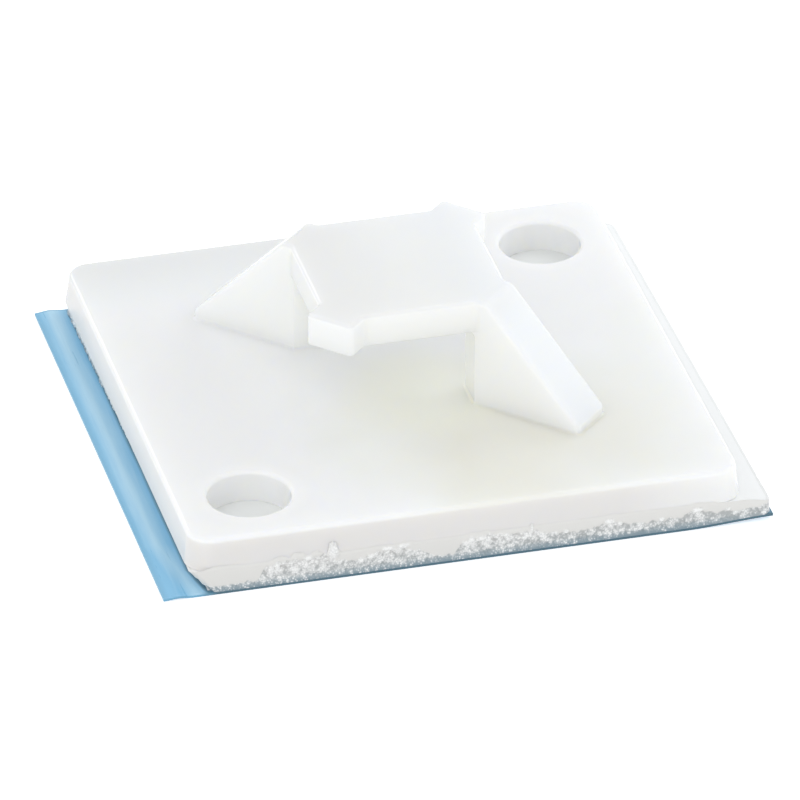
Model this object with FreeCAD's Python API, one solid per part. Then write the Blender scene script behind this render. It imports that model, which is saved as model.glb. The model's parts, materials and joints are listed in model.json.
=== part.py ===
import FreeCAD, Part
import math
import os

# A square cable tie mount: a moulded body on a foam pad with its release film.
# Millimetres, +Z up. The origin is the centre of the body's footprint, on the film's underside.

# Base plate of the body
base_size = 28.4
base_thickness = 1.7
base_draft = 0.2
base_corner_radius = 1.2
base_edge_radius = 0.25

# Screw holes in two opposite corners of the base plate
hole_diameter = 4.2
hole_inset = 4.0
hole_rim_radius = 0.2

# Square head of the bridge, over two tie channels that cross under it
head_size = 9.6
head_thickness = 1.7
head_edge_radius = 0.25
channel_width = 5.6
channel_height = 4.3
channel_roof_radius = 0.5

# Strap that carries the head: it comes down as a ramp on each side, along one diagonal
strap_width = 2.65
ramp_angle = 46.0
crest_flat = 0.1
crest_radius = 0.5
foot_flat = 0.05
root_radius = 0.15

# Noses that stand out of the head's two free corners and keep a tie from slipping off
nose_reach = 1.25
nose_corner_radius = 0.3
bend_radius = 0.4

# Foam pad: a length of tape whose two cuts lean by the same amount
foam_thickness = 1.15
foam_front_overhang = 0.1
foam_left_gap = 0.52
foam_right_overhang = 1.1
foam_skew = 0.34

# Release film under the foam, with a strip left free on one side as a pull tab
film_thickness = 0.12
film_tab = 1.36
film_front_overhang = 0.05

# Levels, from the film's underside up
foam_bottom = film_thickness
base_bottom = foam_bottom + foam_thickness
base_top = base_bottom + base_thickness
head_bottom = base_top + channel_height
head_top = head_bottom + head_thickness

# The strap and the noses lie on the diagonals, a quarter turn apart
diagonal = 45
quarter_turn = 90

# Plan sizes that follow from the ones above
base_half = base_size / 2
head_half = head_size / 2
hole_offset = base_half - hole_inset
corner_face = math.sqrt(2) * head_half - strap_width / 2
stub_end = corner_face + bend_radius * math.tan(math.radians(diagonal) / 2) + crest_flat
crest_tangent = crest_radius * math.tan(math.radians(ramp_angle) / 2)
crest = stub_end + crest_tangent
foot_height = root_radius + foot_flat + head_edge_radius
toe_corner_radius = head_edge_radius + foot_flat
ramp_run = (head_top - base_top - foot_height) / math.tan(math.radians(ramp_angle))
foot_reach = crest + ramp_run
nose_end = corner_face + nose_reach
foam_left = -base_half + foam_left_gap
foam_right = base_half + foam_right_overhang
foam_front = base_half + foam_front_overhang
film_front = foam_front + film_front_overhang

# The strap is made a little way into the base plate, so that the two join as one solid
sink = base_thickness / 2

# A face whose normal rises less than this is a side and not a top
side_limit = 0.5
tolerance = 1e-4

UP = FreeCAD.Vector(0, 0, 1)
CENTRE = FreeCAD.Vector(0, 0, 0)


def rounded_corner(before, corner, after, radius):
    """Where an arc starts, its middle and its end, in place of a sharp corner."""
    back = (before - corner).normalize()
    ahead = (after - corner).normalize()
    half_angle = back.getAngle(ahead) / 2
    tangent = radius / math.tan(half_angle)
    inward = (back + ahead).normalize()
    depth = radius / math.sin(half_angle) - radius
    return corner + back * tangent, corner + inward * depth, corner + ahead * tangent


def prism(outline, bottom, top):
    """A straight-sided solid on a closed outline of (x, y, corner radius)."""
    points = [FreeCAD.Vector(x, y, bottom) for x, y, radius in outline]
    count = len(points)
    edges = []
    starts = []
    ends = []
    for index in range(count):
        radius = outline[index][2]
        corner = points[index]
        if radius == 0:
            starts.append(corner)
            ends.append(corner)
            continue
        following = points[(index + 1) % count]
        start, arc_middle, end = rounded_corner(points[index - 1], corner, following, radius)
        edges.append(Part.Arc(start, arc_middle, end).toShape())
        starts.append(start)
        ends.append(end)
    for index in range(count):
        edges.append(Part.LineSegment(ends[index - 1], starts[index]).toShape())
    face = Part.Face(Part.Wire(Part.__sortEdges__(edges)))
    return face.extrude(UP * (top - bottom))


def centred_block(length, width, bottom, top):
    """A block centred on the Z axis."""
    corner = FreeCAD.Vector(-length / 2, -width / 2, bottom)
    return Part.makeBox(length, width, top - bottom, corner)


def turned(shape, angle):
    """A copy of a shape, turned about the Z axis."""
    copy = shape.copy()
    copy.rotate(CENTRE, UP, angle)
    return copy


def is_upright(edge):
    """True for a straight edge that runs along Z."""
    first = edge.Vertexes[0].Point
    last = edge.Vertexes[-1].Point
    sideways = math.hypot(last.x - first.x, last.y - first.y)
    return sideways < tolerance < abs(last.z - first.z)


def middle(edge):
    """The point half way along an edge."""
    return edge.valueAt((edge.FirstParameter + edge.LastParameter) / 2)


def make_base_plate():
    """The square plate: sides that lean in, round corners and a soft top edge."""
    low = base_half
    high = base_half - base_draft
    plate = Part.makeWedge(
        -low, 0, -low, -high, -high, low, base_thickness, low, high, high
    )
    plate.rotate(CENTRE, FreeCAD.Vector(1, 0, 0), 90)
    plate.translate(UP * base_bottom)
    middle_height = base_bottom + base_thickness / 2
    corners = [edge for edge in plate.Edges if abs(edge.CenterOfMass.z - middle_height) < tolerance]
    plate = plate.makeFillet(base_corner_radius, corners)
    rim = [edge for edge in plate.Edges if abs(edge.CenterOfMass.z - base_top) < tolerance]
    return plate.makeFillet(base_edge_radius, rim)


def make_head():
    """The square head: its corners run out into two noses and two stubs that join the strap."""
    side = strap_width / 2
    outline = []
    for quarter in range(4):
        is_nose = quarter % 2 == 0
        reach = nose_end if is_nose else stub_end
        end_radius = nose_corner_radius if is_nose else 0
        turn = math.radians(diagonal + quarter_turn * quarter)
        for along, across, radius in (
            (corner_face, -side, bend_radius),
            (reach, -side, end_radius),
            (reach, side, end_radius),
            (corner_face, side, bend_radius),
        ):
            x = along * math.cos(turn) - across * math.sin(turn)
            y = along * math.sin(turn) + across * math.cos(turn)
            outline.append((x, y, radius))
    return prism(outline, head_bottom, head_top)


def make_strap():
    """The strap along one diagonal: level over the head, then a ramp down to each round-cornered foot."""
    bottom = base_top - sink
    foot_top = base_top + foot_height
    bend = math.radians(ramp_angle)
    arc_middle_x = stub_end + crest_radius * math.sin(bend / 2)
    arc_middle_z = head_top - crest_radius * (1 - math.cos(bend / 2))
    arc_end_x = crest + crest_tangent * math.cos(bend)
    arc_end_z = head_top - crest_tangent * math.sin(bend)

    def point(x, z):
        return FreeCAD.Vector(x, -strap_width / 2, z)

    def side(sign):
        """The outline from the level top down to one foot."""
        crest_arc = Part.Arc(
            point(sign * stub_end, head_top),
            point(sign * arc_middle_x, arc_middle_z),
            point(sign * arc_end_x, arc_end_z),
        )
        ramp = Part.LineSegment(point(sign * arc_end_x, arc_end_z), point(sign * foot_reach, foot_top))
        toe = Part.LineSegment(point(sign * foot_reach, foot_top), point(sign * foot_reach, bottom))
        return [crest_arc.toShape(), ramp.toShape(), toe.toShape()]

    level = Part.LineSegment(point(-stub_end, head_top), point(stub_end, head_top))
    under = Part.LineSegment(point(-foot_reach, bottom), point(foot_reach, bottom))
    edges = side(1) + side(-1) + [level.toShape(), under.toShape()]
    profile = Part.Face(Part.Wire(Part.__sortEdges__(edges)))
    strap = profile.extrude(FreeCAD.Vector(0, strap_width, 0))
    toe_corners = [edge for edge in strap.Edges if is_upright(edge)]
    return turned(strap.makeFillet(toe_corner_radius, toe_corners), -diagonal)


def make_channel(angle):
    """The space of one tie channel: a tunnel with a rounded roof, longer than the strap."""
    tunnel = centred_block(2 * foot_reach, channel_width, base_bottom, head_bottom)
    roof = [
        edge for edge in tunnel.Edges
        if abs(middle(edge).z - head_bottom) < tolerance and abs(middle(edge).x) < tolerance
    ]
    return turned(tunnel.makeFillet(channel_roof_radius, roof), angle)


def looks_up(face, edge):
    """True where a face looks up rather than sideways, at the middle of one of its edges."""
    u, v = face.Surface.parameter(middle(edge))
    return face.normalAt(u, v).z > side_limit


def is_top_outline(edge, faces):
    """True for the outer edges of the bridge's top: those of the head, the noses and the ramps."""
    touching = [face for face in faces if any(edge.isSame(other) for other in face.Edges)]
    return len(touching) == 2 and looks_up(touching[0], edge) != looks_up(touching[1], edge)


def is_above_base(edge):
    """True for an edge that isn't part of the strap's underside, buried in the base plate."""
    return middle(edge).z > base_top


def make_bridge():
    """Head, noses and ramps as one moulding, open to a tie in both directions."""
    legs = make_strap().cut([make_channel(0), make_channel(quarter_turn)])
    bridge = make_head().fuse(legs).removeSplitter()
    outline = [
        edge for edge in bridge.Edges
        if is_above_base(edge) and not is_upright(edge) and is_top_outline(edge, bridge.Faces)
    ]
    return bridge.makeFillet(head_edge_radius, outline)


def is_root(edge):
    """True for the edges where the two ramps stand on the base plate."""
    place = middle(edge)
    from_diagonal = abs(place.x + place.y) / math.sqrt(2)
    in_strap = from_diagonal < strap_width / 2 + tolerance
    in_reach = math.hypot(place.x, place.y) < foot_reach + tolerance
    return abs(place.z - base_top) < tolerance and in_strap and in_reach


def make_body():
    """The moulded body: base plate, bridge and screw holes."""
    body = make_base_plate().fuse(make_bridge()).removeSplitter()
    roots = [edge for edge in body.Edges if is_root(edge)]
    body = body.makeFillet(root_radius, roots)
    for sign in (-1, 1):
        axis_foot = FreeCAD.Vector(sign * hole_offset, sign * hole_offset, base_bottom)
        body = body.cut(Part.makeCylinder(hole_diameter / 2, base_thickness, axis_foot))
    rims = [
        edge for edge in body.Edges
        if isinstance(edge.Curve, Part.Circle)
        and abs(edge.Curve.Radius - hole_diameter / 2) < tolerance
        and abs(edge.Curve.Center.z - base_top) < tolerance
    ]
    return body.makeFillet(hole_rim_radius, rims)


def make_foam_pad():
    """The foam: as wide as the tape, with both ends cut slightly off square."""
    outline = [
        (foam_left + foam_skew, -foam_front, 0),
        (foam_right + foam_skew, -foam_front, 0),
        (foam_right - foam_skew, foam_front, 0),
        (foam_left - foam_skew, foam_front, 0),
    ]
    return prism(outline, foam_bottom, base_bottom)


def make_release_film():
    """The film: as long as the foam and the tab, and a hair wider than the tape."""
    left = -base_half - film_tab
    right = foam_right + foam_skew
    outline = [
        (left, -film_front, 0),
        (right, -film_front, 0),
        (right, film_front, 0),
        (left, film_front, 0),
    ]
    return prism(outline, 0, film_thickness)


def save(shape, node):
    """Writes one solid to its own file and says how it came out."""
    solid = shape.Solids[0]
    print(node, "valid", solid.isValid(), "solids", len(shape.Solids), "volume", round(solid.Volume, 2))
    solid.exportStep("parts/" + node + ".step")


os.makedirs("parts", exist_ok=True)
save(make_body(), "mount_body")
save(make_foam_pad(), "foam_pad")
save(make_release_film(), "release_film")
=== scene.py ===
import json
import math

import bmesh
import bpy
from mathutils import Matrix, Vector, noise


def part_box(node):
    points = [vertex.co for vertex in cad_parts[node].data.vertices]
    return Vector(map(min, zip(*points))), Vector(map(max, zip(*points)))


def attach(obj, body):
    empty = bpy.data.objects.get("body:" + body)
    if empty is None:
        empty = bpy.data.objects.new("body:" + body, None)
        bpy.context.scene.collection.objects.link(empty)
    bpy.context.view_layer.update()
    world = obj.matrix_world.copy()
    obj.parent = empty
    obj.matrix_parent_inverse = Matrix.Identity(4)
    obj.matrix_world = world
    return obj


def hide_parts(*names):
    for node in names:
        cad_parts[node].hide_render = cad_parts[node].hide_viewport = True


MM = 0.001

# Camera, fitted to the photograph: direction in degrees, distance, aim and lens
CAMERA_AZIMUTH = -14.434
CAMERA_ELEVATION = 30.908
CAMERA_DISTANCE = 541.947 * MM
CAMERA_AIM = Vector((-0.719, -3.346, 2.97)) * MM
CAMERA_LENS = 485.8
CAMERA_CLIP = 10 * MM
SENSOR_WIDTH = 36.0

# Sizes of the body, as in the part's source
BASE_THICKNESS = 1.7 * MM
BASE_CORNER = 1.2 * MM
BASE_DRAFT = 0.2 * MM / BASE_THICKNESS

# How far the foam's ends slant from front to back, which is half of what they do in the part's source
FOAM_SKEW = 0.34 * MM

# Corner of film and foam that curls up at the front right
CURL_HEIGHT = 0.2 * MM
CURL_WIDTH = 4.5 * MM
CURL_LENGTH = 9.0 * MM

# Foam mesh: spacing of its points, levels of its edge, and its gap to the pieces above and below
FRONT_STEP = 0.045 * MM
EDGE_STEP = 0.075 * MM
TOP_STEP = 0.2 * MM
TOP_INSET = 0.2 * MM
EDGE_LEVELS = 28
SURFACE_GAP = 0.01 * MM

# Underside of the foam, as shares of its outline along X and Y
UNDERSIDE_SHARES = (0.97, 0.985)

# Angles in degrees above which an edge of foam or film stays sharp
FOAM_CREASE = 65
FILM_CREASE = 40

# Rim of the foam: where it turns in, then rings, each with a share of its depth and a drop below the top
RIM_DEPTH = 0.5 * MM
RIM_TURN = 0.11 * MM
RIM_LIFT = 0.003 * MM
RIM_RINGS = [(0.55, -0.002 * MM), (0.45, 0.06 * MM), (0.0, 0.1 * MM)]

# Front cut of the foam: a skin that climbs onto the body, and a toe of grains that reaches the film's edge
SKIN_DEPTH = 0.075 * MM
SKIN_RISE = 0.13 * MM
TOE_REACH = 0.045 * MM
TOE_HEIGHT = 0.16
CROWN = 0.16 * MM
CROWN_FADE = 0.5 * MM

# Torn foam: its height and fade as shares of the thickness, its depth, its lumps, and the size of its grains
TORN_LEVEL = 0.62
TORN_FADE = 0.12
TORN_DEPTH = 0.03 * MM
TORN_WAVE = 0.3 * MM
PIT_DEPTH = 0.1 * MM
SIDE_PITS = 0.5
LUMP_RISE = 0.05 * MM
SMALL_GRAIN = 0.19 * MM
LARGE_GRAIN = 0.42 * MM
GRAIN_SHIFT = Vector((3 * MM, 0, 0))
GROOVE = 0.75

# Ripples, each with its height and its length
LEVEL_WAVES = (0.5, 2.2 * MM)
LEVEL_RIPPLES = (0.25, 0.5 * MM)
FRONT_RIPPLES = (0.14, 0.3 * MM)
TUFT_RIPPLES = (0.7, 0.16 * MM)
SKIN_RIPPLES = (0.15, 0.6 * MM)
DOME_RIPPLES = (0.02 * MM, 0.5 * MM)
FREE_RIPPLES = (0.012 * MM, 0.4 * MM)

# Front left corner of the foam: it leans out from a height between foot and top, and has a small lip
CORNER_LEAN = 1.0 * MM
CORNER_PIVOT = 0.42
CORNER_LENGTH = 2.6 * MM
CORNER_DEPTH = 7.0 * MM
LIP_HEIGHT = 0.12 * MM
LIP_WIDTH = 0.12 * MM
LIP_FADE = 0.8 * MM
LIP_SHARE = 0.7

# Top of the foam: a dome in each screw hole, free skin outside the body, and a sunk strip on the right
DOME_HEIGHT = 0.22 * MM
DOME_POWER = 0.7
DOME_FIT = 0.98
FREE_FADE = 0.2 * MM
STRIP_SINK = 0.34 * MM
STRIP_POWER = 1.3
STRIP_LENGTH = 8 * MM
STRIP_BACK = 0.6

# Film mesh: spacing of its points on the free strip and elsewhere, and its rows
FILM_STEP = 0.07 * MM
FILM_WIDE_STEP = 0.5 * MM
FILM_ROWS = 70

# Bow of the film's free strip: its height, how much of it is even, and the share and length of its waves
FILM_BOW = 0.08 * MM
BOW_EVEN = 0.8
BOW_LONG_WAVE = (0.2, 6 * MM)
BOW_SHORT_WAVE = (0.1, 2.3 * MM)

# Where the torn part of the front cut ends: place along X and height as a share of the thickness
FRONT_CUT = [
    (-13.8, 0.2), (-10.8, 0.26), (-10.3, 0.9), (-9.4, 1.05), (-8.3, 1.0), (-7.4, 1.1), (-6.7, 0.75),
    (-5.7, 0.6), (-4.7, 0.85), (-3.6, 0.98), (-2.6, 0.7), (-1.6, 0.28), (-0.9, 0.24), (-0.1, 0.85),
    (1.2, 1.0), (2.2, 0.86), (3.2, 0.9), (4.1, 0.68), (5.2, 0.56), (6.3, 0.58), (7.3, 0.84),
    (8.2, 0.58), (9.4, 0.52), (10.6, 0.54), (11.7, 0.8), (12.6, 0.54), (14.0, 0.46), (15.6, 0.5),
]

# Torn foam that sticks to the body above its lower edge: place along X, height and half width
TUFTS = [
    (-9.6, 0.16, 0.4), (-8.7, 0.26, 0.4), (-7.8, 0.2, 0.35), (-6.9, 0.58, 0.27),
    (-4.4, 0.05, 0.6), (-3.1, 0.09, 0.35), (0.3, 0.07, 0.3), (0.85, 0.1, 0.2),
    (3.22, 0.16, 0.1), (7.35, 0.05, 0.25), (11.8, 0.05, 0.3),
]

# White lumps on the front cut: place along X, middle as a share of the thickness, half width and half height
LUMPS = [
    (-10.1, 0.72, 0.14, 0.2), (-9.75, 0.86, 0.12, 0.14), (-8.2, 1.02, 0.2, 0.1),
    (-6.9, 1.2, 0.27, 0.36), (-5.5, 0.56, 0.13, 0.1), (-5.0, 0.72, 0.16, 0.1),
    (-4.1, 0.98, 0.32, 0.09), (-3.3, 1.0, 0.28, 0.1), (-0.2, 0.72, 0.12, 0.12),
    (0.15, 0.88, 0.14, 0.14), (0.6, 0.86, 0.2, 0.13), (1.0, 0.74, 0.13, 0.1),
    (1.9, 0.88, 0.2, 0.08), (3.22, 1.02, 0.07, 0.2), (5.0, 0.62, 0.14, 0.08),
    (7.2, 0.84, 0.24, 0.11), (7.75, 0.66, 0.12, 0.1), (9.9, 0.58, 0.16, 0.09),
    (11.75, 0.82, 0.28, 0.1), (13.3, 0.62, 0.15, 0.08),
]

# Power that gives tufts and lumps flat tops and steep sides, and half sizes at which a lump has ended
FLATNESS = 4
LUMP_END = 2

# Colours of the nylon, in linear light: the cool one is its own, all the others are painted shade or painted
# light
NYLON_WARM_SHADE = (0.85, 0.84, 0.77)
NYLON_COOL = (0.935, 0.95, 0.945)
NYLON_CHANNEL_SHADE = (0.96, 0.955, 0.84)
NYLON_BACK_SHADE = (0.81, 0.815, 0.815)
NYLON_PAINTED_GLOW = (0.88, 0.88, 0.865)
NYLON_SIDE_SHADE = (0.81, 0.795, 0.78)
NYLON_FLANK_LIGHT = (0.9, 0.9, 0.89)
NYLON_RAMP_SHADE = (0.86, 0.88, 0.9)
NYLON_HEAD_SHADE = (0.8, 0.8, 0.8)
NYLON_HOLE_PAINTED_LIGHT = (0.99, 0.99, 0.98)

# Places of the painted warm shade in front, the painted shade in the channel and the painted light round the
# holes, as a middle with distances from it
WARM_SHADE_MIDDLE = (3 * MM, -9 * MM, 0)
WARM_SHADE_REACH = 13 * MM
CHANNEL_MIDDLE = (0.5 * MM, -2.5 * MM, 0)
CHANNEL_CORE = 1.5 * MM
CHANNEL_REACH = 5.8 * MM
HOLE_REACH = 3.2 * MM

# Where the back's painted shade begins along Y, and where it ends along X
BACK_START = 8 * MM
BACK_END = 8 * MM

# Spans along X over which the painted light on the right flank, the painted ramp shade and the painted head
# shade fade, and how strong the head's painted shade is at the ends of its span
FLANK_SPAN = (8 * MM, 13 * MM)
RAMP_SPAN = (0.0, 3 * MM)
HEAD_SPAN = (-4 * MM, 5 * MM)
HEAD_SHARES = (1.0, 0.3)

# Spans in height over which the painted shade of channel, sides, ramp and head and the painted glow fade,
# measured from the base's top, or from the body's top for the head
CHANNEL_TOP = (1.5 * MM, 3.5 * MM)
SIDE_TOP = (-0.3 * MM, 0.0)
RAMP_FOOT = (0.0, 0.3 * MM)
GLOW_FOOT = (-0.02 * MM, 0.25 * MM)
GLOW_SHARE = 0.8
HEAD_TOP = (-1.4 * MM, -0.4 * MM)

# A nylon face is steep where its normal's Z is below the first of these, and not above the second
STEEP = (0.2, 0.6)

# Clouds in the nylon's colour, and the waves and the fine texture of its surface
CLOUD_SCALE = 130
CLOUD_SPAN = (0.3, 0.7)
CLOUD_SHARES = (-0.3, 0.3)
WAVE_SCALE = 260
WAVE_HEIGHT = 0.05 * MM
WAVE_BUMP = 0.2
TEXTURE_SCALE = 5200
TEXTURE_HEIGHT = 0.003 * MM
TEXTURE_BUMP = 0.05

# How far light wanders in the nylon, the heights over which that changes, and the share lost round a hole
FOOT_SCATTER = 0.03 * MM
PLATE_SCATTER = 0.7 * MM
PLATE_SPAN = (SKIN_RISE, 1.2 * MM)
BRIDGE_SCATTER = 1.6 * MM
BRIDGE_SPAN = (-0.3 * MM, 1.2 * MM)
HOLE_LOSS = 0.8

# How far red, green and blue light wanders, as shares of that
SCATTER_COLOURS = (1.0, 0.95, 0.8)

# Colours of the foam: skin, grain and top are its own; the pit and foot colours are painted shade, with the
# film's blue painted in as reflection near the film, and the well colour is painted shade in the screw holes
FOAM_SKIN = (0.79, 0.78, 0.755)
FOAM_GRAIN = (0.98, 0.98, 0.97)
FOAM_HIGH_PIT_SHADE = (0.56, 0.555, 0.545)
FOAM_PIT_SHADE = (0.43, 0.46, 0.47)
FOAM_FOOT_SHADE = (0.24, 0.32, 0.37)
FOAM_TOP = (0.92, 0.925, 0.92)
FOAM_WELL_SHADE = (0.83, 0.84, 0.83)

# Hollows of the torn foam, which set its painted shade: what cells and patches add at random, and the place
# along X, to a point's depth
CELL_SCALE = 9500
CELL_SPAN = (0.1, 0.7)
CELL_SHARES = (-0.3, 0.4)
PATCH_SCALE = 1900
PATCH_SPAN = (0.35, 0.65)
PATCH_SHARES = (-0.14, 0.14)
RIGHT_SPAN = (2 * MM, 6 * MM)
RIGHT_SHARES = (-0.05, 0.25)

# Depths at which a hollow's painted shade darkens, and heights above the film at which that shade deepens
# and takes the film's blue
HOLLOW_SPAN = (0.1, 1.15)
FOOT_HOLLOWS = (0.1, 0.6)
FOOT_SHARES = (0.3, 1.0)
FOAM_FOOT_SPAN = (0.03 * MM, 0.32 * MM)
HIGH_PIT_SPAN = (0.2 * MM, 0.9 * MM)

# The foam's top colour fades in between these values of the normal's Z, and the painted shade in a screw
# hole over this width
FOAM_UP = (0.5, 0.95)
WELL_FADE = 0.2 * MM

# Light in the torn grains, and the bumps of their cells
GRAIN_GLOW = 0.12
GRAIN_SCATTER = 0.12 * MM
CELL_BUMP = 0.45
CELL_HEIGHT = 0.04 * MM

# Colours of the film: deep blue, pale blue that also paints a highlight along the free strip, a deeper blue
# for cut edges, and a painted shadow colour
FILM_DEEP = (0.25, 0.57, 0.83)
FILM_PALE = (0.48, 0.75, 0.93)
FILM_CUT = (0.16, 0.42, 0.62)
FILM_PAINTED_SHADOW = (0.05, 0.13, 0.18)

# Draw lines along the film
LINE_STRETCH = (1.0, 0.06, 0.0)
LINE_SCALE = 2600
LINE_SPAN = (0.2, 0.8)
LINE_SHARES = (-0.35, 0.35)
LINE_HEIGHT = 0.01 * MM
LINE_BUMP = 0.15
LINE_ROUGHNESS = (0.22, 0.38)

# Painted highlight: a pale streak along the film's free strip, and how far it swerves towards the foam near
# the front
STREAK_MIDDLE = -14.7 * MM
STREAK_WIDTH = 0.75 * MM
SWERVE = 0.9 * MM
SWERVE_LENGTH = 5 * MM

# Painted shadow: a dark line on the film close to the foam, and how it follows the foam's front corner
FOOT_LINE = -13.8 * MM
FOOT_WIDTH = 0.16 * MM
FOOT_WOBBLE = 0.06 * MM
FOOT_SHADE = 0.75
FOOT_SWAY = 0.55 * MM
FOOT_LENGTH = 2.4 * MM

# Spans from the pad's left, front and right edges over which the film is covered by the foam and painted
# dark as its shadow
COVER_SPAN = (0.3 * MM, 1.2 * MM)
FRONT_SPAN = (0.02 * MM, 0.3 * MM)
RIGHT_EDGE = (-0.1 * MM, 0.0)

# Spans from the film's left and back edges that are darker, with how much: painted shade where the bowed
# strip turns down at its left edge, and darker along its back edge
LEFT_RIM = (0.02 * MM, 0.35 * MM)
LEFT_SHADE = 0.45
BACK_RIM = (-0.16 * MM, -0.04 * MM)
BACK_SHADE = 0.6

# A film face is a cut edge where its normal's Z is below the first of these, and flat above the second
FLAT = (0.1, 0.6)

# Floor: half its width, its gap below the object, its colour and how much it shines where it is seen
FLOOR_HALF = 1.5
FLOOR_DROP = 0.02 * MM
FLOOR_WHITE = (0.86, 0.86, 0.86)
FLOOR_GLOW = 0.5

# World: colour, and strength level with the object and straight above it
DAYLIGHT = (0.97, 0.985, 1.0)
SIDE_LIGHT = 0.87
SKY_LIGHT = 0.655

# Lamps: name, azimuth, elevation, distance, width and height, power and colour
LAMPS = [
    ("right_softbox", 116, 32, 0.07, (0.05, 0.05), 0.011, (0.94, 0.97, 1.0)),
    ("back_left_softbox", -157, 24, 0.5, (0.04, 0.07), 0.13, (1.0, 1.0, 1.0)),
    ("top_softbox", 60, 76, 0.5, (0.06, 0.06), 0.03, (1.0, 0.99, 0.97)),
    ("left_softbox", -78, 60, 0.07, (0.05, 0.05), 0.0042, (0.96, 0.99, 1.0)),
    ("front_softbox", -50, 20, 0.12, (0.08, 0.08), 0.013, (1.0, 0.99, 0.97)),
    ("front_high_softbox", -14, 42, 0.3, (0.12, 0.12), 0.08, (1.0, 1.0, 1.0)),
    ("front_right_softbox", 40, 4, 0.06, (0.04, 0.03), 0.0036, (0.97, 0.985, 1.0)),
]

# A lamp nearer than this, in metres, has no mirror image in the object
NEAR_LAMP = 0.1


def smooth_step(value):
    """0 below 0, 1 above 1 and smooth in between."""
    value = min(1.0, max(0.0, value))
    return value * value * (3 - 2 * value)


def between(points, place):
    """Height at a place on a line of points, with smooth runs between them."""
    if place <= points[0][0]:
        return points[0][1]
    for (x0, y0), (x1, y1) in zip(points, points[1:]):
        if place <= x1:
            return y0 + (y1 - y0) * smooth_step((place - x0) / (x1 - x0))
    return points[-1][1]


def shifted(span, base):
    """A span moved along by a base."""
    return base + span[0], base + span[1]


def grain(point, size):
    """Rounded grains of a given size: 1 on top of a grain and 0 in the grooves between grains."""
    distances, places = noise.voronoi(point / size)
    return 1 - min(1.0, distances[0] / GROOVE) ** 2


def wander(point, size):
    """Smooth random value from about -1 to 1."""
    return noise.noise(point / size)


def ripple(point, waves):
    """Height of some waves at a point."""
    height, length = waves
    return height * wander(point, length)


def curl(x, y):
    """How far the front right corner has curled up."""
    right = smooth_step((x - pad_right + CURL_WIDTH) / CURL_WIDTH)
    front = smooth_step((CURL_LENGTH - y + pad_front) / CURL_LENGTH)
    return CURL_HEIGHT * right * front


def mesh_object(name, vertices, faces):
    """A new smooth mesh object in the scene."""
    mesh = bpy.data.meshes.new(name)
    mesh.from_pydata(vertices, [], faces)
    mesh.validate()
    mesh.polygons.foreach_set("use_smooth", [True] * len(mesh.polygons))
    made = bpy.data.objects.new(name, mesh)
    bpy.context.scene.collection.objects.link(made)
    return made


def mark_sharp_edges(made, angle):
    """Keeps edges crisp where two faces meet at more than an angle, in degrees."""
    editing = bmesh.new()
    editing.from_mesh(made.data)
    for edge in editing.edges:
        if len(edge.link_faces) == 2 and edge.calc_face_angle(0) > math.radians(angle):
            edge.smooth = False
    editing.to_mesh(made.data)
    editing.free()


def joined_rings(rings, closed=True):
    """Faces between rings of vertex numbers, one ring after the other."""
    faces = []
    count = len(rings[0])
    steps = range(count) if closed else range(count - 1)
    for lower, upper in zip(rings, rings[1:]):
        for index in steps:
            following = (index + 1) % count
            faces.append((lower[index], lower[following], upper[following], upper[index]))
    return faces


def border(rows):
    """Vertex numbers once round a grid of rows."""
    right = [row[-1] for row in rows[1:]]
    left = [row[0] for row in rows[-2:0:-1]]
    return rows[0] + right + rows[-1][-2::-1] + left


def pad_corners():
    """Corners of the foam, from the front left one round to the back left one."""
    return [
        Vector((pad_left + FOAM_SKEW, pad_front, 0)),
        Vector((pad_right, pad_front, 0)),
        Vector((pad_right - FOAM_SKEW, pad_back, 0)),
        Vector((pad_left, pad_back, 0)),
    ]


def pad_outline():
    """Points a rim's depth inside the foam's edge, each with the way out and its share of the front."""
    corners = pad_corners()
    middle = sum(corners, Vector()) / len(corners)
    inner = []
    for corner in corners:
        inset_x = math.copysign(RIM_DEPTH, corner.x - middle.x)
        inset_y = math.copysign(RIM_DEPTH, corner.y - middle.y)
        inner.append(corner - Vector((inset_x, inset_y, 0)))
    front_side, left_side = 0, 3
    outline = []
    for index, start in enumerate(inner):
        end = inner[(index + 1) % 4]
        after = inner[(index + 2) % 4]
        along = (end - start).normalized()
        out = Vector((along.y, -along.x, 0))
        next_along = (after - end).normalized()
        next_out = Vector((next_along.y, -next_along.x, 0))
        on_front = index == front_side
        count = round((end - start).length / (FRONT_STEP if on_front else EDGE_STEP))
        for step in range(count):
            outline.append((start.lerp(end, step / count), out, 1.0 if on_front else 0.0))
        fan = round(RIM_DEPTH * math.pi / 2 / FRONT_STEP)
        for step in range(fan):
            share = step / fan
            front = 1 - share if on_front else share if index == left_side else 0.0
            outline.append((end, out.lerp(next_out, share).normalized(), front))
    return outline


def tuft_height(x):
    """How far the torn edge stands up over the body's lower edge."""
    height = 0.0
    for place, top, half_width in TUFTS:
        height = max(height, top * math.exp(-((x / MM - place) / half_width) ** FLATNESS))
    return height * MM


def lump(x, height):
    """1 in the middle of a white lump of the front cut, and 0 away from them all."""
    most = 0.0
    for place, middle, half_width, half_height in LUMPS:
        across = (x / MM - place) / half_width
        up = (height - middle) / half_height
        if abs(across) < LUMP_END and abs(up) < LUMP_END:
            most = max(most, math.exp(-(across ** FLATNESS) - up ** FLATNESS))
    return most


def corner_lean(x, y, height):
    """Shift along X of the front left corner: its top stands out and its foot is drawn in."""
    left = smooth_step((pad_left + FOAM_SKEW + CORNER_LENGTH - x) / CORNER_LENGTH)
    front = smooth_step((pad_front + CORNER_DEPTH - y) / CORNER_DEPTH)
    return CORNER_LEAN * (CORNER_PIVOT - height) * left * front


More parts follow.
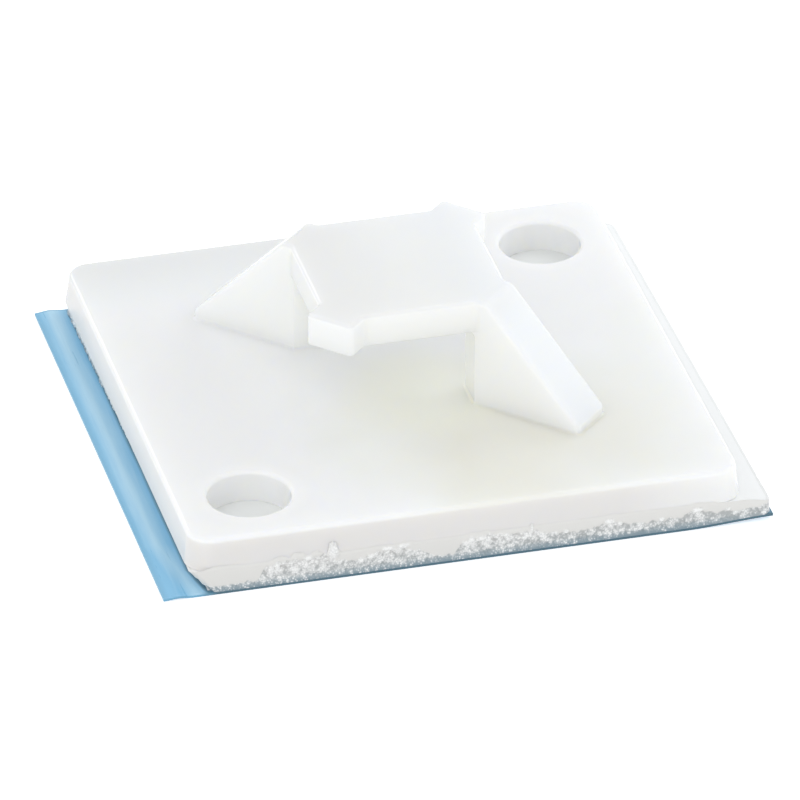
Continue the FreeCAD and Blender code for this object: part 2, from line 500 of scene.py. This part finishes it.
def corner_rise(x, y):
    """How far the foam's edge stands up where the body's round corner leaves it free."""
    straight = body_half - BASE_CORNER
    across = max(0.0, abs(x) - straight)
    along = max(0.0, abs(y) - straight)
    beyond = math.hypot(across, along) - BASE_CORNER
    left = smooth_step((pad_left + CORNER_LENGTH - x) / LIP_FADE)
    return LIP_HEIGHT * left * smooth_step((beyond - SURFACE_GAP) / LIP_WIDTH)


def body_face(z):
    """Place along Y of the body's front face, which leans back."""
    return -body_half + BASE_DRAFT * max(0.0, z - pad_top)


def strip_drop(x, y):
    """How far the foam's free strip on the right has sunk below the body's underside."""
    share = (x - body_half) / (pad_right - body_half)
    front = STRIP_BACK + (1 - STRIP_BACK) * smooth_step((pad_front + STRIP_LENGTH - y) / STRIP_LENGTH)
    return STRIP_SINK * front * max(0.0, min(1.0, share)) ** STRIP_POWER


def top_height(x, y):
    """Height of the foam's top: pressed flat under the body, domed in the holes, free outside it."""
    low = pad_top - SURFACE_GAP
    for hole_x, hole_y in hole_places:
        distance = math.hypot(x - hole_x, y - hole_y)
        if distance < hole_radius * DOME_FIT:
            dome = 1 - (distance / hole_radius) ** 2
            return low + DOME_HEIGHT * dome ** DOME_POWER + ripple(Vector((x, y, 0)), DOME_RIPPLES) * dome
    free = smooth_step((max(abs(x), abs(y)) - body_half) / FREE_FADE)
    return low - strip_drop(x, y) + free * ripple(Vector((x, y, 0)), FREE_RIPPLES)


def torn_level(edge, front):
    """Height up to which the cut is torn, as a share of the thickness."""
    level = TORN_LEVEL + ripple(edge, LEVEL_WAVES) + ripple(edge, LEVEL_RIPPLES)
    front_level = between(FRONT_CUT, edge.x / MM) + ripple(Vector((edge.x, 0, 0)), FRONT_RIPPLES)
    return level + (front_level - level) * front


def cut_shape(edge, place, height, torn_up_to, front):
    """Depth of a point behind the straight edge, with how torn, how hollow and how white it is."""
    torn = smooth_step((torn_up_to - height) / TORN_FADE + 0.5)
    white = lump(edge.x, height) * front
    grains = (grain(place, SMALL_GRAIN) + grain(place + GRAIN_SHIFT, LARGE_GRAIN)) / 2
    pit = (1 - grains) * (1 - white)
    toe = smooth_step((TOE_HEIGHT - height) / TOE_HEIGHT) * front
    depth = torn * (1 - toe) * (pit * PIT_DEPTH + TORN_DEPTH * (1 + wander(place, TORN_WAVE)))
    depth += (1 - torn) * SKIN_DEPTH * (1 + ripple(place, SKIN_RIPPLES))
    depth -= white * LUMP_RISE + toe * TOE_REACH
    return max(depth, -TOE_REACH * front), torn, pit, white


def crown_depth(y, z, top, white):
    """How far the upper end of the front cut draws back, so that it ends on the body's face."""
    crown = (z - top + CROWN) / CROWN
    if crown <= 0:
        return 0.0
    behind = body_face(z) - SURFACE_GAP / 2 - y
    blunt = 1 - math.sqrt(max(0.0, 1 - crown * crown))
    round_off = smooth_step(crown) + (blunt - smooth_step(crown)) * white
    return max(0.0, behind) * round_off


class FoamPoints:
    """Points of the foam, each with how torn and how hollow it is."""

    def __init__(self):
        self.points = []
        self.torn = []
        self.pits = []

    def add(self, ring, x, y, z, torn=0.0, pit=0.0):
        """Adds a point, and its number to a ring."""
        ring.append(len(self.points))
        self.points.append((x, y, z))
        self.torn.append(torn)
        self.pits.append(pit)


def add_edge(foam, rings):
    """The cut edge all round, from the film up, with the rim that turns in over it."""
    thickness = pad_top - pad_bottom
    for inside, out, front in pad_outline():
        edge = inside + out * RIM_DEPTH
        torn_up_to = torn_level(edge, front)
        on_body = smooth_step((body_half - BASE_CORNER - abs(edge.x)) / CROWN_FADE)
        tufts = tuft_height(edge.x) * (1 + ripple(Vector((edge.x, 1, 0)), TUFT_RIPPLES))
        rise = (SKIN_RISE + max(0.0, tufts)) * front * on_body
        lip = corner_rise(edge.x + corner_lean(edge.x, edge.y, 1), edge.y) * front
        top = pad_top - strip_drop(edge.x, edge.y) + rise + lip
        for level in range(EDGE_LEVELS):
            z = pad_bottom + level / (EDGE_LEVELS - 1) * (top - pad_bottom)
            height = (z - pad_bottom) / thickness
            place = Vector((edge.x, edge.y, z))
            depth, torn, pit, white = cut_shape(edge, place, height, torn_up_to, front)
            if front > 0.5:
                depth += crown_depth(edge.y + depth, z, top, white) * on_body
            point = inside + out * (RIM_DEPTH - depth)
            x = point.x + corner_lean(point.x, point.y, height)
            z += (1 - height) * curl(point.x, point.y)
            pit *= SIDE_PITS + (1 - SIDE_PITS) * front
            foam.add(rings[level], x, point.y, z, max(torn, white), pit)
        add_rim(foam, rings[EDGE_LEVELS:], inside, out, front, rise)


def add_rim(foam, rings, inside, out, front, rise):
    """The rim at one point of the edge: it turns in under the body, or over a free corner, and then down."""
    behind = inside + out * (RIM_DEPTH - RIM_TURN)
    shift = corner_lean(behind.x, behind.y, 1)
    x, y = behind.x + shift, behind.y
    if rise > 0:
        z = pad_top - SURFACE_GAP - strip_drop(behind.x, behind.y)
        y = min(y, body_face(pad_top) - SURFACE_GAP / 2)
    else:
        z = top_height(x, y) + RIM_LIFT + LIP_SHARE * corner_rise(x, y) * front
    foam.add(rings[0], x, y, z)
    for ring, (share, drop) in zip(rings[1:], RIM_RINGS):
        point = inside + out * RIM_DEPTH * share
        foam.add(ring, point.x + shift, point.y, top_height(point.x + shift, point.y) - drop)


def add_top(foam, rows):
    """The soft top, as a grid of points."""
    columns = round((pad_right - pad_left) / TOP_STEP)
    row_count = round((pad_back - pad_front) / TOP_STEP)
    for number in range(row_count + 1):
        share = number / row_count
        y = pad_front + TOP_INSET + share * (pad_back - pad_front - 2 * TOP_INSET)
        left = pad_left + FOAM_SKEW * (1 - share) + TOP_INSET
        right = pad_right - FOAM_SKEW * share - TOP_INSET
        row = []
        for column in range(columns + 1):
            x = left + (right - left) * column / columns
            x += corner_lean(x, y, 1)
            foam.add(row, x, y, top_height(x, y))
        rows.append(row)


def add_base(foam, ring):
    """The flat underside, a little smaller than the foam, which follows the curled corner."""
    for corner in pad_corners():
        x = corner.x * UNDERSIDE_SHARES[0]
        y = corner.y * UNDERSIDE_SHARES[1]
        foam.add(ring, x, y, pad_bottom + SURFACE_GAP + curl(corner.x, corner.y))


def make_foam():
    """The foam pad: a torn, grainy cut all round, and a soft top that swells into the screw holes."""
    points = FoamPoints()
    rings = [[] for level in range(EDGE_LEVELS + 1 + len(RIM_RINGS))]
    add_edge(points, rings)
    rows = []
    add_top(points, rows)
    base = []
    add_base(points, base)
    faces = joined_rings(rings) + joined_rings(rows, closed=False) + [tuple(reversed(base))]
    made = mesh_object("foam_tape", points.points, faces)
    for name, values in (("torn", points.torn), ("pit", points.pits)):
        made.data.attributes.new(name, "FLOAT", "POINT").data.foreach_set("value", values)
    mark_sharp_edges(made, FOAM_CREASE)
    return made


def film_height(x, y):
    """How far the film's free strip bows up from the surface it lies on."""
    strip = (x - film_left) / (pad_left - film_left)
    if strip >= 1:
        return 0.0
    bow = math.sin(math.pi * strip) ** 2
    long_share, long_wave = BOW_LONG_WAVE
    short_share, short_wave = BOW_SHORT_WAVE
    along = BOW_EVEN + long_share * math.sin(y / long_wave) + short_share * math.sin(y / short_wave + 1)
    return FILM_BOW * bow * along


def make_film():
    """The release film: a thin sheet, bowed a little where it is free."""
    places = []
    place = film_left
    while place < film_right:
        places.append(place)
        place += FILM_STEP if place < pad_left + FOAM_SKEW else FILM_WIDE_STEP
    places.append(film_right)
    vertices = []
    upper = []
    lower = []
    for row in range(FILM_ROWS + 1):
        y = film_front + (film_back - film_front) * row / FILM_ROWS
        top = []
        under = []
        for x in places:
            low = film_height(x, y) + curl(x, y)
            under.append(len(vertices))
            vertices.append((x, y, low))
            top.append(len(vertices))
            vertices.append((x, y, low + pad_bottom))
        upper.append(top)
        lower.append(under)
    faces = joined_rings(upper, closed=False)
    faces += [tuple(reversed(face)) for face in joined_rings(lower, closed=False)]
    faces += joined_rings([border(lower), border(upper)])
    made = mesh_object("blue_release_film", vertices, faces)
    mark_sharp_edges(made, FILM_CREASE)
    return made


class Shader:
    """Short ways to add and join the nodes of one material."""

    def __init__(self, name):
        self.material = bpy.data.materials.new(name)
        self.material.use_nodes = True
        self.nodes = self.material.node_tree.nodes
        self.links = self.material.node_tree.links
        self.nodes.clear()
        self.output = self.nodes.new("ShaderNodeOutputMaterial")

    def add(self, kind, **settings):
        """A node with its own settings."""
        node = self.nodes.new("ShaderNode" + kind)
        for key, value in settings.items():
            setattr(node, key, value)
        return node

    def put(self, socket, value):
        """Gives a socket a link or a constant."""
        if isinstance(value, bpy.types.NodeSocket):
            self.links.new(value, socket)
        else:
            socket.default_value = value

    def set(self, node, **values):
        """Links or constants for a node's sockets, by name with _ for a space."""
        for key, value in values.items():
            self.put(node.inputs[key.replace("_", " ")], value)
        return node

    def place(self):
        """A point's place in the object's own metres."""
        return self.add("TexCoord").outputs["Object"]

    def axes(self, vector):
        """X, Y and Z of a vector."""
        node = self.set(self.add("SeparateXYZ"), Vector=vector)
        return node.outputs["X"], node.outputs["Y"], node.outputs["Z"]

    def normal_z(self):
        """Z of the surface's normal: 1 where it faces up and 0 where it is upright."""
        return self.axes(self.add("NewGeometry").outputs["Normal"])[2]

    def noise(self, vector, scale, detail=3.0, roughness=0.5):
        """Soft noise, mostly from 0.2 to 0.8."""
        node = self.set(self.add("TexNoise"), Vector=vector, Scale=scale, Detail=detail, Roughness=roughness)
        return node.outputs["Fac"]

    def spot(self, place, middle, core, reach):
        """1 within a distance of an upright axis, and 0 beyond a reach."""
        flat = self.add("VectorMath", operation="MULTIPLY")
        self.links.new(place, flat.inputs[0])
        flat.inputs[1].default_value = (1, 1, 0)
        away = self.add("VectorMath", operation="DISTANCE")
        self.links.new(flat.outputs["Vector"], away.inputs[0])
        away.inputs[1].default_value = middle
        fade = self.add("MapRange", clamp=True, interpolation_type="SMOOTHSTEP")
        self.set(fade, Value=away.outputs["Value"], From_Min=core, From_Max=reach, To_Min=1.0, To_Max=0.0)
        return fade.outputs["Result"]

    def near_holes(self, place, reach):
        """1 in the two screw holes, and 0 beyond a reach from their axes."""
        return self.most(*[self.spot(place, (*hole, 0), hole_radius, reach) for hole in hole_places])

    def ramp(self, factor, *stops):
        """A colour ramp with stops of (place, colour)."""
        node = self.add("ValToRGB")
        self.links.new(factor, node.inputs["Fac"])
        for element, (place, colour) in zip(node.color_ramp.elements, stops):
            element.position = place
            element.color = (*colour, 1)
        return node.outputs["Color"]

    def range(self, value, low, high, to_low, to_high):
        """A value that goes from one number to another while a socket goes from low to high."""
        node = self.add("MapRange", clamp=True)
        self.set(node, Value=value, From_Min=low, From_Max=high, To_Min=to_low, To_Max=to_high)
        return node.outputs["Result"]

    def rise(self, value, low, high):
        """0 up to a low value, and 1 from a high one."""
        return self.range(value, low, high, 0.0, 1.0)

    def fall(self, value, low, high):
        """1 up to a low value, and 0 from a high one."""
        return self.range(value, low, high, 1.0, 0.0)

    def mix(self, factor, first, second):
        """A colour between two, each a link or three numbers."""
        node = self.add("Mix", data_type="RGBA")
        self.links.new(factor, node.inputs["Factor"])
        for name, value in (("A", first), ("B", second)):
            socket = next(item for item in node.inputs if item.name == name and item.type == "RGBA")
            self.put(socket, value if isinstance(value, bpy.types.NodeSocket) else (*value, 1))
        return next(item for item in node.outputs if item.type == "RGBA")

    def bump(self, height, strength, distance, normal=None, invert=False):
        """A normal that follows a height, on top of another normal if one is given."""
        node = self.add("Bump", invert=invert)
        self.set(node, Height=height, Strength=strength, Distance=distance)
        if normal is not None:
            self.links.new(normal, node.inputs["Normal"])
        return node.outputs["Normal"]

    def math(self, operation, first, second=0.0):
        """What an operation makes of one or two values."""
        node = self.add("Math", operation=operation)
        for socket, value in zip(node.inputs, (first, second)):
            self.put(socket, value)
        return node.outputs["Value"]

    def plus(self, first, second):
        """Two values added."""
        return self.math("ADD", first, second)

    def less(self, first, second):
        """The first value without the second."""
        return self.math("SUBTRACT", first, second)

    def times(self, first, second):
        """Two values multiplied."""
        return self.math("MULTIPLY", first, second)

    def most(self, first, second):
        """The greater of two values."""
        return self.math("MAXIMUM", first, second)

    def principled(self, **values):
        """The finished material, with a Principled surface."""
        surface = self.set(self.add("BsdfPrincipled"), **values)
        self.links.new(surface.outputs["BSDF"], self.output.inputs["Surface"])
        return self.material


def nylon_colour(shader, place, hole):
    """Nylon colour: its own cool tone with clouds, with painted shade in front, in the channels, behind, on
    sides, ramps and head, and painted light round the holes, on the right flank and on upright faces.
    """
    x, y, z = shader.axes(place)
    clouds = shader.range(shader.noise(place, CLOUD_SCALE, detail=2), *CLOUD_SPAN, *CLOUD_SHARES)
    # Painted shade: a warmer, darker tone in front and under the head, spread by clouds that are the nylon's
    # own random tone
    warm = shader.plus(shader.spot(place, WARM_SHADE_MIDDLE, 0.0, WARM_SHADE_REACH), clouds)
    colour = shader.mix(warm, NYLON_COOL, NYLON_WARM_SHADE)
    # Painted shade: darker along the back left of the top, where less light falls
    back = shader.times(shader.rise(y, BACK_START, body_half), shader.fall(x, 0.0, BACK_END))
    colour = shader.mix(back, colour, NYLON_BACK_SHADE)
    # Painted shade: the yellow tone of the shaded channel floor under the bridge
    below = shader.fall(z, *shifted(CHANNEL_TOP, base_top))
    channel = shader.times(below, shader.spot(place, CHANNEL_MIDDLE, CHANNEL_CORE, CHANNEL_REACH))
    colour = shader.mix(channel, colour, NYLON_CHANNEL_SHADE)
    # Painted light: the hole walls made brighter, standing in for light that comes through the milky nylon
    colour = shader.mix(hole, colour, NYLON_HOLE_PAINTED_LIGHT)

    steep = shader.fall(shader.normal_z(), *STEEP)
    # Painted shade on the plate's upright sides, set against the front lamp, with painted light on them
    # towards the right end
    side = shader.times(steep, shader.fall(z, *shifted(SIDE_TOP, base_top)))
    side = shader.times(side, shader.less(1.0, hole))
    flank = shader.mix(shader.rise(x, *FLANK_SPAN), NYLON_SIDE_SHADE, NYLON_FLANK_LIGHT)
    colour = shader.mix(side, colour, flank)
    # Painted shade: a darker, cooler tone above the base on the right half, over the right ramp and the
    # head's right half, which the right lamp lights strongly
    ramp = shader.times(shader.rise(z, *shifted(RAMP_FOOT, base_top)), shader.rise(x, *RAMP_SPAN))
    colour = shader.mix(ramp, colour, NYLON_RAMP_SHADE)
    # Painted shade: the head's top made darker, most on its left
    head = shader.rise(z, *shifted(HEAD_TOP, body_top))
    head = shader.times(head, shader.range(x, *HEAD_SPAN, *HEAD_SHARES))
    head = shader.times(head, shader.less(1.0, steep))
    colour = shader.mix(head, colour, NYLON_HEAD_SHADE)
    # Painted light: a tone on upright faces of the bridge and ramps, standing in for light that comes
    # through the milky nylon
    glow = shader.range(z, *shifted(GLOW_FOOT, base_top), 0.0, GLOW_SHARE)
    return shader.mix(shader.times(steep, glow), colour, NYLON_PAINTED_GLOW)


def nylon_scatter(shader, place, hole):
    """How far light wanders: hardly at the plate's foot and round the holes, and most in the bridge."""
    height = shader.axes(place)[2]
    plate = shader.range(height, *shifted(PLATE_SPAN, pad_top), FOOT_SCATTER, PLATE_SCATTER)
    bridge = shader.range(height, *shifted(BRIDGE_SPAN, base_top), 0.0, BRIDGE_SCATTER)
    kept = shader.less(1.0, shader.times(hole, HOLE_LOSS))
    return shader.times(shader.plus(plate, bridge), kept)


def make_nylon():
    """Milky natural nylon: light wanders in it, which makes it warmer where it is thick, and its colour
    carries painted shade and painted light, with a yellow painted shade where it is closed in.
    """
    shader = Shader("natural_nylon")
    place = shader.place()
    hole = shader.near_holes(place, HOLE_REACH)
    waves = shader.noise(place, WAVE_SCALE, detail=2)
    texture = shader.noise(place, TEXTURE_SCALE, detail=4, roughness=0.6)
    normal = shader.bump(waves, WAVE_BUMP, WAVE_HEIGHT)
    normal = shader.bump(texture, TEXTURE_BUMP, TEXTURE_HEIGHT, normal)
    return shader.principled(
        Base_Color=nylon_colour(shader, place, hole), Roughness=0.22, Normal=normal, IOR=1.53,
        Subsurface_Weight=1.0, Subsurface_Radius=SCATTER_COLOURS,
        Subsurface_Scale=nylon_scatter(shader, place, hole),
    )


def grain_colour(shader, place, pit, cells):
    """Bright grains, with painted shade in the hollows between them, deeper and blue from the film near the
    film, and darker towards the right.
    """
    x, y, z = shader.axes(place)
    patches = shader.range(shader.noise(place, PATCH_SCALE, detail=3), *PATCH_SPAN, *PATCH_SHARES)
    # Painted shade in the grooves between grains, varied at random by cells and patches
    hollow = shader.plus(pit, shader.range(cells, *CELL_SPAN, *CELL_SHARES))
    hollow = shader.plus(hollow, patches)
    hollow = shader.plus(hollow, shader.times(shader.range(x, *RIGHT_SPAN, *RIGHT_SHARES), pit))
    high = shader.rise(z, *shifted(HIGH_PIT_SPAN, pad_bottom))
    deep = shader.mix(high, FOAM_PIT_SHADE, FOAM_HIGH_PIT_SHADE)
    colour = shader.mix(shader.rise(hollow, *HOLLOW_SPAN), FOAM_GRAIN, deep)
    # Painted shade with the film's blue painted in as reflection: the hollows darken to teal just above the
    # film
    foot = shader.fall(z, *shifted(FOAM_FOOT_SPAN, pad_bottom))
    foot = shader.times(foot, shader.range(hollow, *FOOT_HOLLOWS, *FOOT_SHARES))
    return shader.mix(foot, colour, FOAM_FOOT_SHADE)


def make_foam_material():
    """White foam: a smooth skin, and where it is torn bright grains with painted shade in the hollows
    between them.
    """
    shader = Shader("white_foam")
    place = shader.place()
    torn = shader.add("Attribute", attribute_name="torn").outputs["Fac"]
    pit = shader.add("Attribute", attribute_name="pit").outputs["Fac"]
    cells = shader.set(shader.add("TexVoronoi"), Vector=place, Scale=CELL_SCALE).outputs["Distance"]
    skin = shader.mix(shader.rise(shader.normal_z(), *FOAM_UP), FOAM_SKIN, FOAM_TOP)
    # Painted shade: the foam seen down a screw hole is darker
    skin = shader.mix(shader.near_holes(place, hole_radius + WELL_FADE), skin, FOAM_WELL_SHADE)
    colour = shader.mix(torn, skin, grain_colour(shader, place, pit, cells))
    normal = shader.bump(cells, shader.times(torn, CELL_BUMP), CELL_HEIGHT, invert=True)
    return shader.principled(
        Base_Color=colour, Roughness=0.7, Normal=normal, IOR=1.4,
        Subsurface_Weight=shader.times(torn, GRAIN_GLOW), Subsurface_Radius=(1.0, 1.0, 1.0),
        Subsurface_Scale=GRAIN_SCATTER,
    )


def film_streak(shader, x, y, lines):
    """The film's blue: a painted highlight as a pale streak along its free strip, and draw lines."""
    swerve = shader.range(y, film_front, film_front + SWERVE_LENGTH, SWERVE, 0.0)
    bent = shader.less(x, swerve)
    left = shader.rise(bent, STREAK_MIDDLE - STREAK_WIDTH, STREAK_MIDDLE)
    right = shader.fall(bent, STREAK_MIDDLE, STREAK_MIDDLE + STREAK_WIDTH)
    tone = shader.plus(shader.times(left, right), shader.range(lines, *LINE_SPAN, *LINE_SHARES))
    return shader.ramp(tone, (0.0, FILM_DEEP), (1.0, FILM_PALE))


def film_shadow(shader, x, y, lines, covered):
    """Painted shadow on the film's upper side: in a line close to the foam, and at its edges under the foam.
    """
    front = shader.fall(y, *shifted(FRONT_SPAN, pad_front))
    front = shader.most(front, shader.rise(x, *shifted(RIGHT_EDGE, pad_right)))
    sway = shader.range(y, film_front, film_front + FOOT_LENGTH, FOOT_SWAY, 0.0)
    wobble = shader.range(lines, *LINE_SPAN, -FOOT_WOBBLE, FOOT_WOBBLE)
    near = shader.plus(shader.less(x, sway), wobble)
    near = shader.range(near, FOOT_LINE - FOOT_WIDTH, FOOT_LINE, 0.0, FOOT_SHADE)
    return shader.most(near, shader.times(covered, front))


def make_film_material():
    """Blue plastic film: glossy, with faint draw lines along it, a painted highlight and painted shadow, and
    deeper colour at its cut edges.
    """
    shader = Shader("blue_film")
    place = shader.place()
    x, y = shader.axes(place)[:2]
    stretched = shader.set(shader.add("Mapping"), Vector=place, Scale=LINE_STRETCH)
    lines = shader.noise(stretched.outputs["Vector"], LINE_SCALE, detail=4, roughness=0.6)
    facing = shader.normal_z()
    up = shader.rise(facing, *FLAT)
    flat = shader.rise(shader.math("ABSOLUTE", facing), *FLAT)
    covered = shader.rise(x, *shifted(COVER_SPAN, pad_left))
    # Painted shadow of the foam on the film's upper side
    dark = shader.times(up, film_shadow(shader, x, y, lines, covered))
    colour = shader.mix(dark, film_streak(shader, x, y, lines), FILM_PAINTED_SHADOW)
    # Painted shade along the left edge, and darker along the back edge
    left_rim = shader.range(x, *shifted(LEFT_RIM, film_left), LEFT_SHADE, 0.0)
    back_rim = shader.range(y, *shifted(BACK_RIM, film_back), 0.0, BACK_SHADE)
    colour = shader.mix(shader.most(left_rim, back_rim), colour, FILM_CUT)
    # Painted shadow: cut edges under the foam are dark
    cut = shader.mix(covered, FILM_CUT, FILM_PAINTED_SHADOW)
    return shader.principled(
        Base_Color=shader.mix(flat, cut, colour), Roughness=shader.range(lines, 0.0, 1.0, *LINE_ROUGHNESS),
        Normal=shader.bump(lines, LINE_BUMP, LINE_HEIGHT), IOR=1.5, Coat_Weight=0.3, Coat_Roughness=0.12,
    )


def seen_directly(shader):
    """1 for a ray from the camera, or one mirrored or passed on to it, and 0 for all other light."""
    path = shader.add("LightPath")
    passed_on = shader.most(path.outputs["Is Glossy Ray"], path.outputs["Is Transmission Ray"])
    return shader.most(path.outputs["Is Camera Ray"], passed_on)


def make_floor():
    """A plain white floor that keeps the object's shadow."""
    sides = [(-1, -1), (1, -1), (1, 1), (-1, 1)]
    corners = [(x * FLOOR_HALF, y * FLOOR_HALF, -FLOOR_DROP) for x, y in sides]
    floor = mesh_object("floor", corners, [(0, 1, 2, 3)])
    shader = Shader("floor_white")
    matte = shader.set(shader.add("BsdfDiffuse"), Color=(*FLOOR_WHITE, 1))
    glow = shader.set(shader.add("Emission"), Strength=shader.times(seen_directly(shader), FLOOR_GLOW))
    both = shader.add("AddShader")
    shader.links.new(matte.outputs["BSDF"], both.inputs[0])
    shader.links.new(glow.outputs["Emission"], both.inputs[1])
    shader.links.new(both.outputs["Shader"], shader.output.inputs["Surface"])
    floor.data.materials.append(shader.material)


def make_world():
    """Nearly white to the camera, and plain soft light on the object, a little weaker from above."""
    world = bpy.data.worlds.new("studio")
    bpy.context.scene.world = world
    world.use_nodes = True
    nodes = world.node_tree.nodes
    links = world.node_tree.links
    nodes.clear()
    direction_seen = nodes.new("ShaderNodeTexCoord").outputs["Generated"]
    sky = nodes.new("ShaderNodeSeparateXYZ")
    links.new(direction_seen, sky.inputs["Vector"])
    light = nodes.new("ShaderNodeMapRange")
    links.new(sky.outputs["Z"], light.inputs["Value"])
    light.inputs["To Min"].default_value = SIDE_LIGHT
    light.inputs["To Max"].default_value = SKY_LIGHT
    level = nodes.new("ShaderNodeMapRange")
    links.new(nodes.new("ShaderNodeLightPath").outputs["Is Camera Ray"], level.inputs["Value"])
    links.new(light.outputs["Result"], level.inputs["To Min"])
    level.inputs["To Max"].default_value = 1.0
    background = nodes.new("ShaderNodeBackground")
    background.inputs["Color"].default_value = (*DAYLIGHT, 1)
    links.new(level.outputs["Result"], background.inputs["Strength"])
    output = nodes.new("ShaderNodeOutputWorld")
    links.new(background.outputs["Background"], output.inputs["Surface"])


def direction(azimuth, elevation):
    """Unit vector from the object towards a viewer at an azimuth and elevation, in degrees."""
    turn = math.radians(azimuth)
    lift = math.radians(elevation)
    return Vector((math.sin(turn) * math.cos(lift), -math.cos(turn) * math.cos(lift), math.sin(lift)))


def add_softbox(name, azimuth, elevation, distance, size, power, colour):
    """A soft area lamp that looks at the object from a direction, in degrees."""
    data = bpy.data.lights.new(name, "AREA")
    data.shape = "RECTANGLE"
    data.size = size[0]
    data.size_y = size[1]
    data.energy = power
    data.color = colour
    lamp = bpy.data.objects.new(name, data)
    bpy.context.scene.collection.objects.link(lamp)
    back = direction(azimuth, elevation)
    lamp.location = back * distance
    lamp.rotation_euler = back.to_track_quat("Z", "Y").to_euler()
    lamp.visible_glossy = distance > NEAR_LAMP


def add_camera():
    """The photograph's camera."""
    data = bpy.data.cameras.new("camera")
    data.sensor_width = SENSOR_WIDTH
    data.lens = CAMERA_LENS
    data.clip_start = CAMERA_CLIP
    camera = bpy.data.objects.new("camera", data)
    bpy.context.scene.collection.objects.link(camera)
    back = direction(CAMERA_AZIMUTH, CAMERA_ELEVATION)
    camera.location = CAMERA_AIM + back * CAMERA_DISTANCE
    camera.rotation_euler = back.to_track_quat("Z", "Y").to_euler()
    bpy.context.scene.camera = camera


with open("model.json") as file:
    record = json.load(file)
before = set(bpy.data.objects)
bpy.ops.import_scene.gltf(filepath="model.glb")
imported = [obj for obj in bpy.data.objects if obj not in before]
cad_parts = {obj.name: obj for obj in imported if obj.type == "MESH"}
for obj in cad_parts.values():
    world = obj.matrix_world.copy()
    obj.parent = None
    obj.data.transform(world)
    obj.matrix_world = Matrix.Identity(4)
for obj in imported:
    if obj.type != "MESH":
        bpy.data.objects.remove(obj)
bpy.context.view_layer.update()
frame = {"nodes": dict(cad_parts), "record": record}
pad_low, pad_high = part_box("foam_pad")
film_low, film_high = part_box("release_film")
body_low, body_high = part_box("mount_body")
pad_left, pad_front, pad_bottom = pad_low
pad_right, pad_back, pad_top = pad_high
film_left, film_front = film_low.x, film_low.y
film_right, film_back = film_high.x, film_high.y
body_half, body_top = body_high.x, body_high.z
base_top = pad_top + BASE_THICKNESS

bores = [mount for mount in frame["record"]["mounts"] if mount["kind"] == "bore"]
hole_places = [bore["pos_m"][:2] for bore in bores]
hole_radius = bores[0]["dims"]["r_mm"] * MM

body = frame["nodes"]["mount_body"]
body.data.materials.clear()
body.data.materials.append(make_nylon())

foam = make_foam()
foam.data.materials.append(make_foam_material())
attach(foam, "root")
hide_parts("foam_pad")

film = make_film()
film.data.materials.append(make_film_material())
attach(film, "root")
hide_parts("release_film")

make_floor()
make_world()
for lamp_values in LAMPS:
    add_softbox(*lamp_values)
add_camera()
bpy.context.scene.view_settings.view_transform = "Standard"
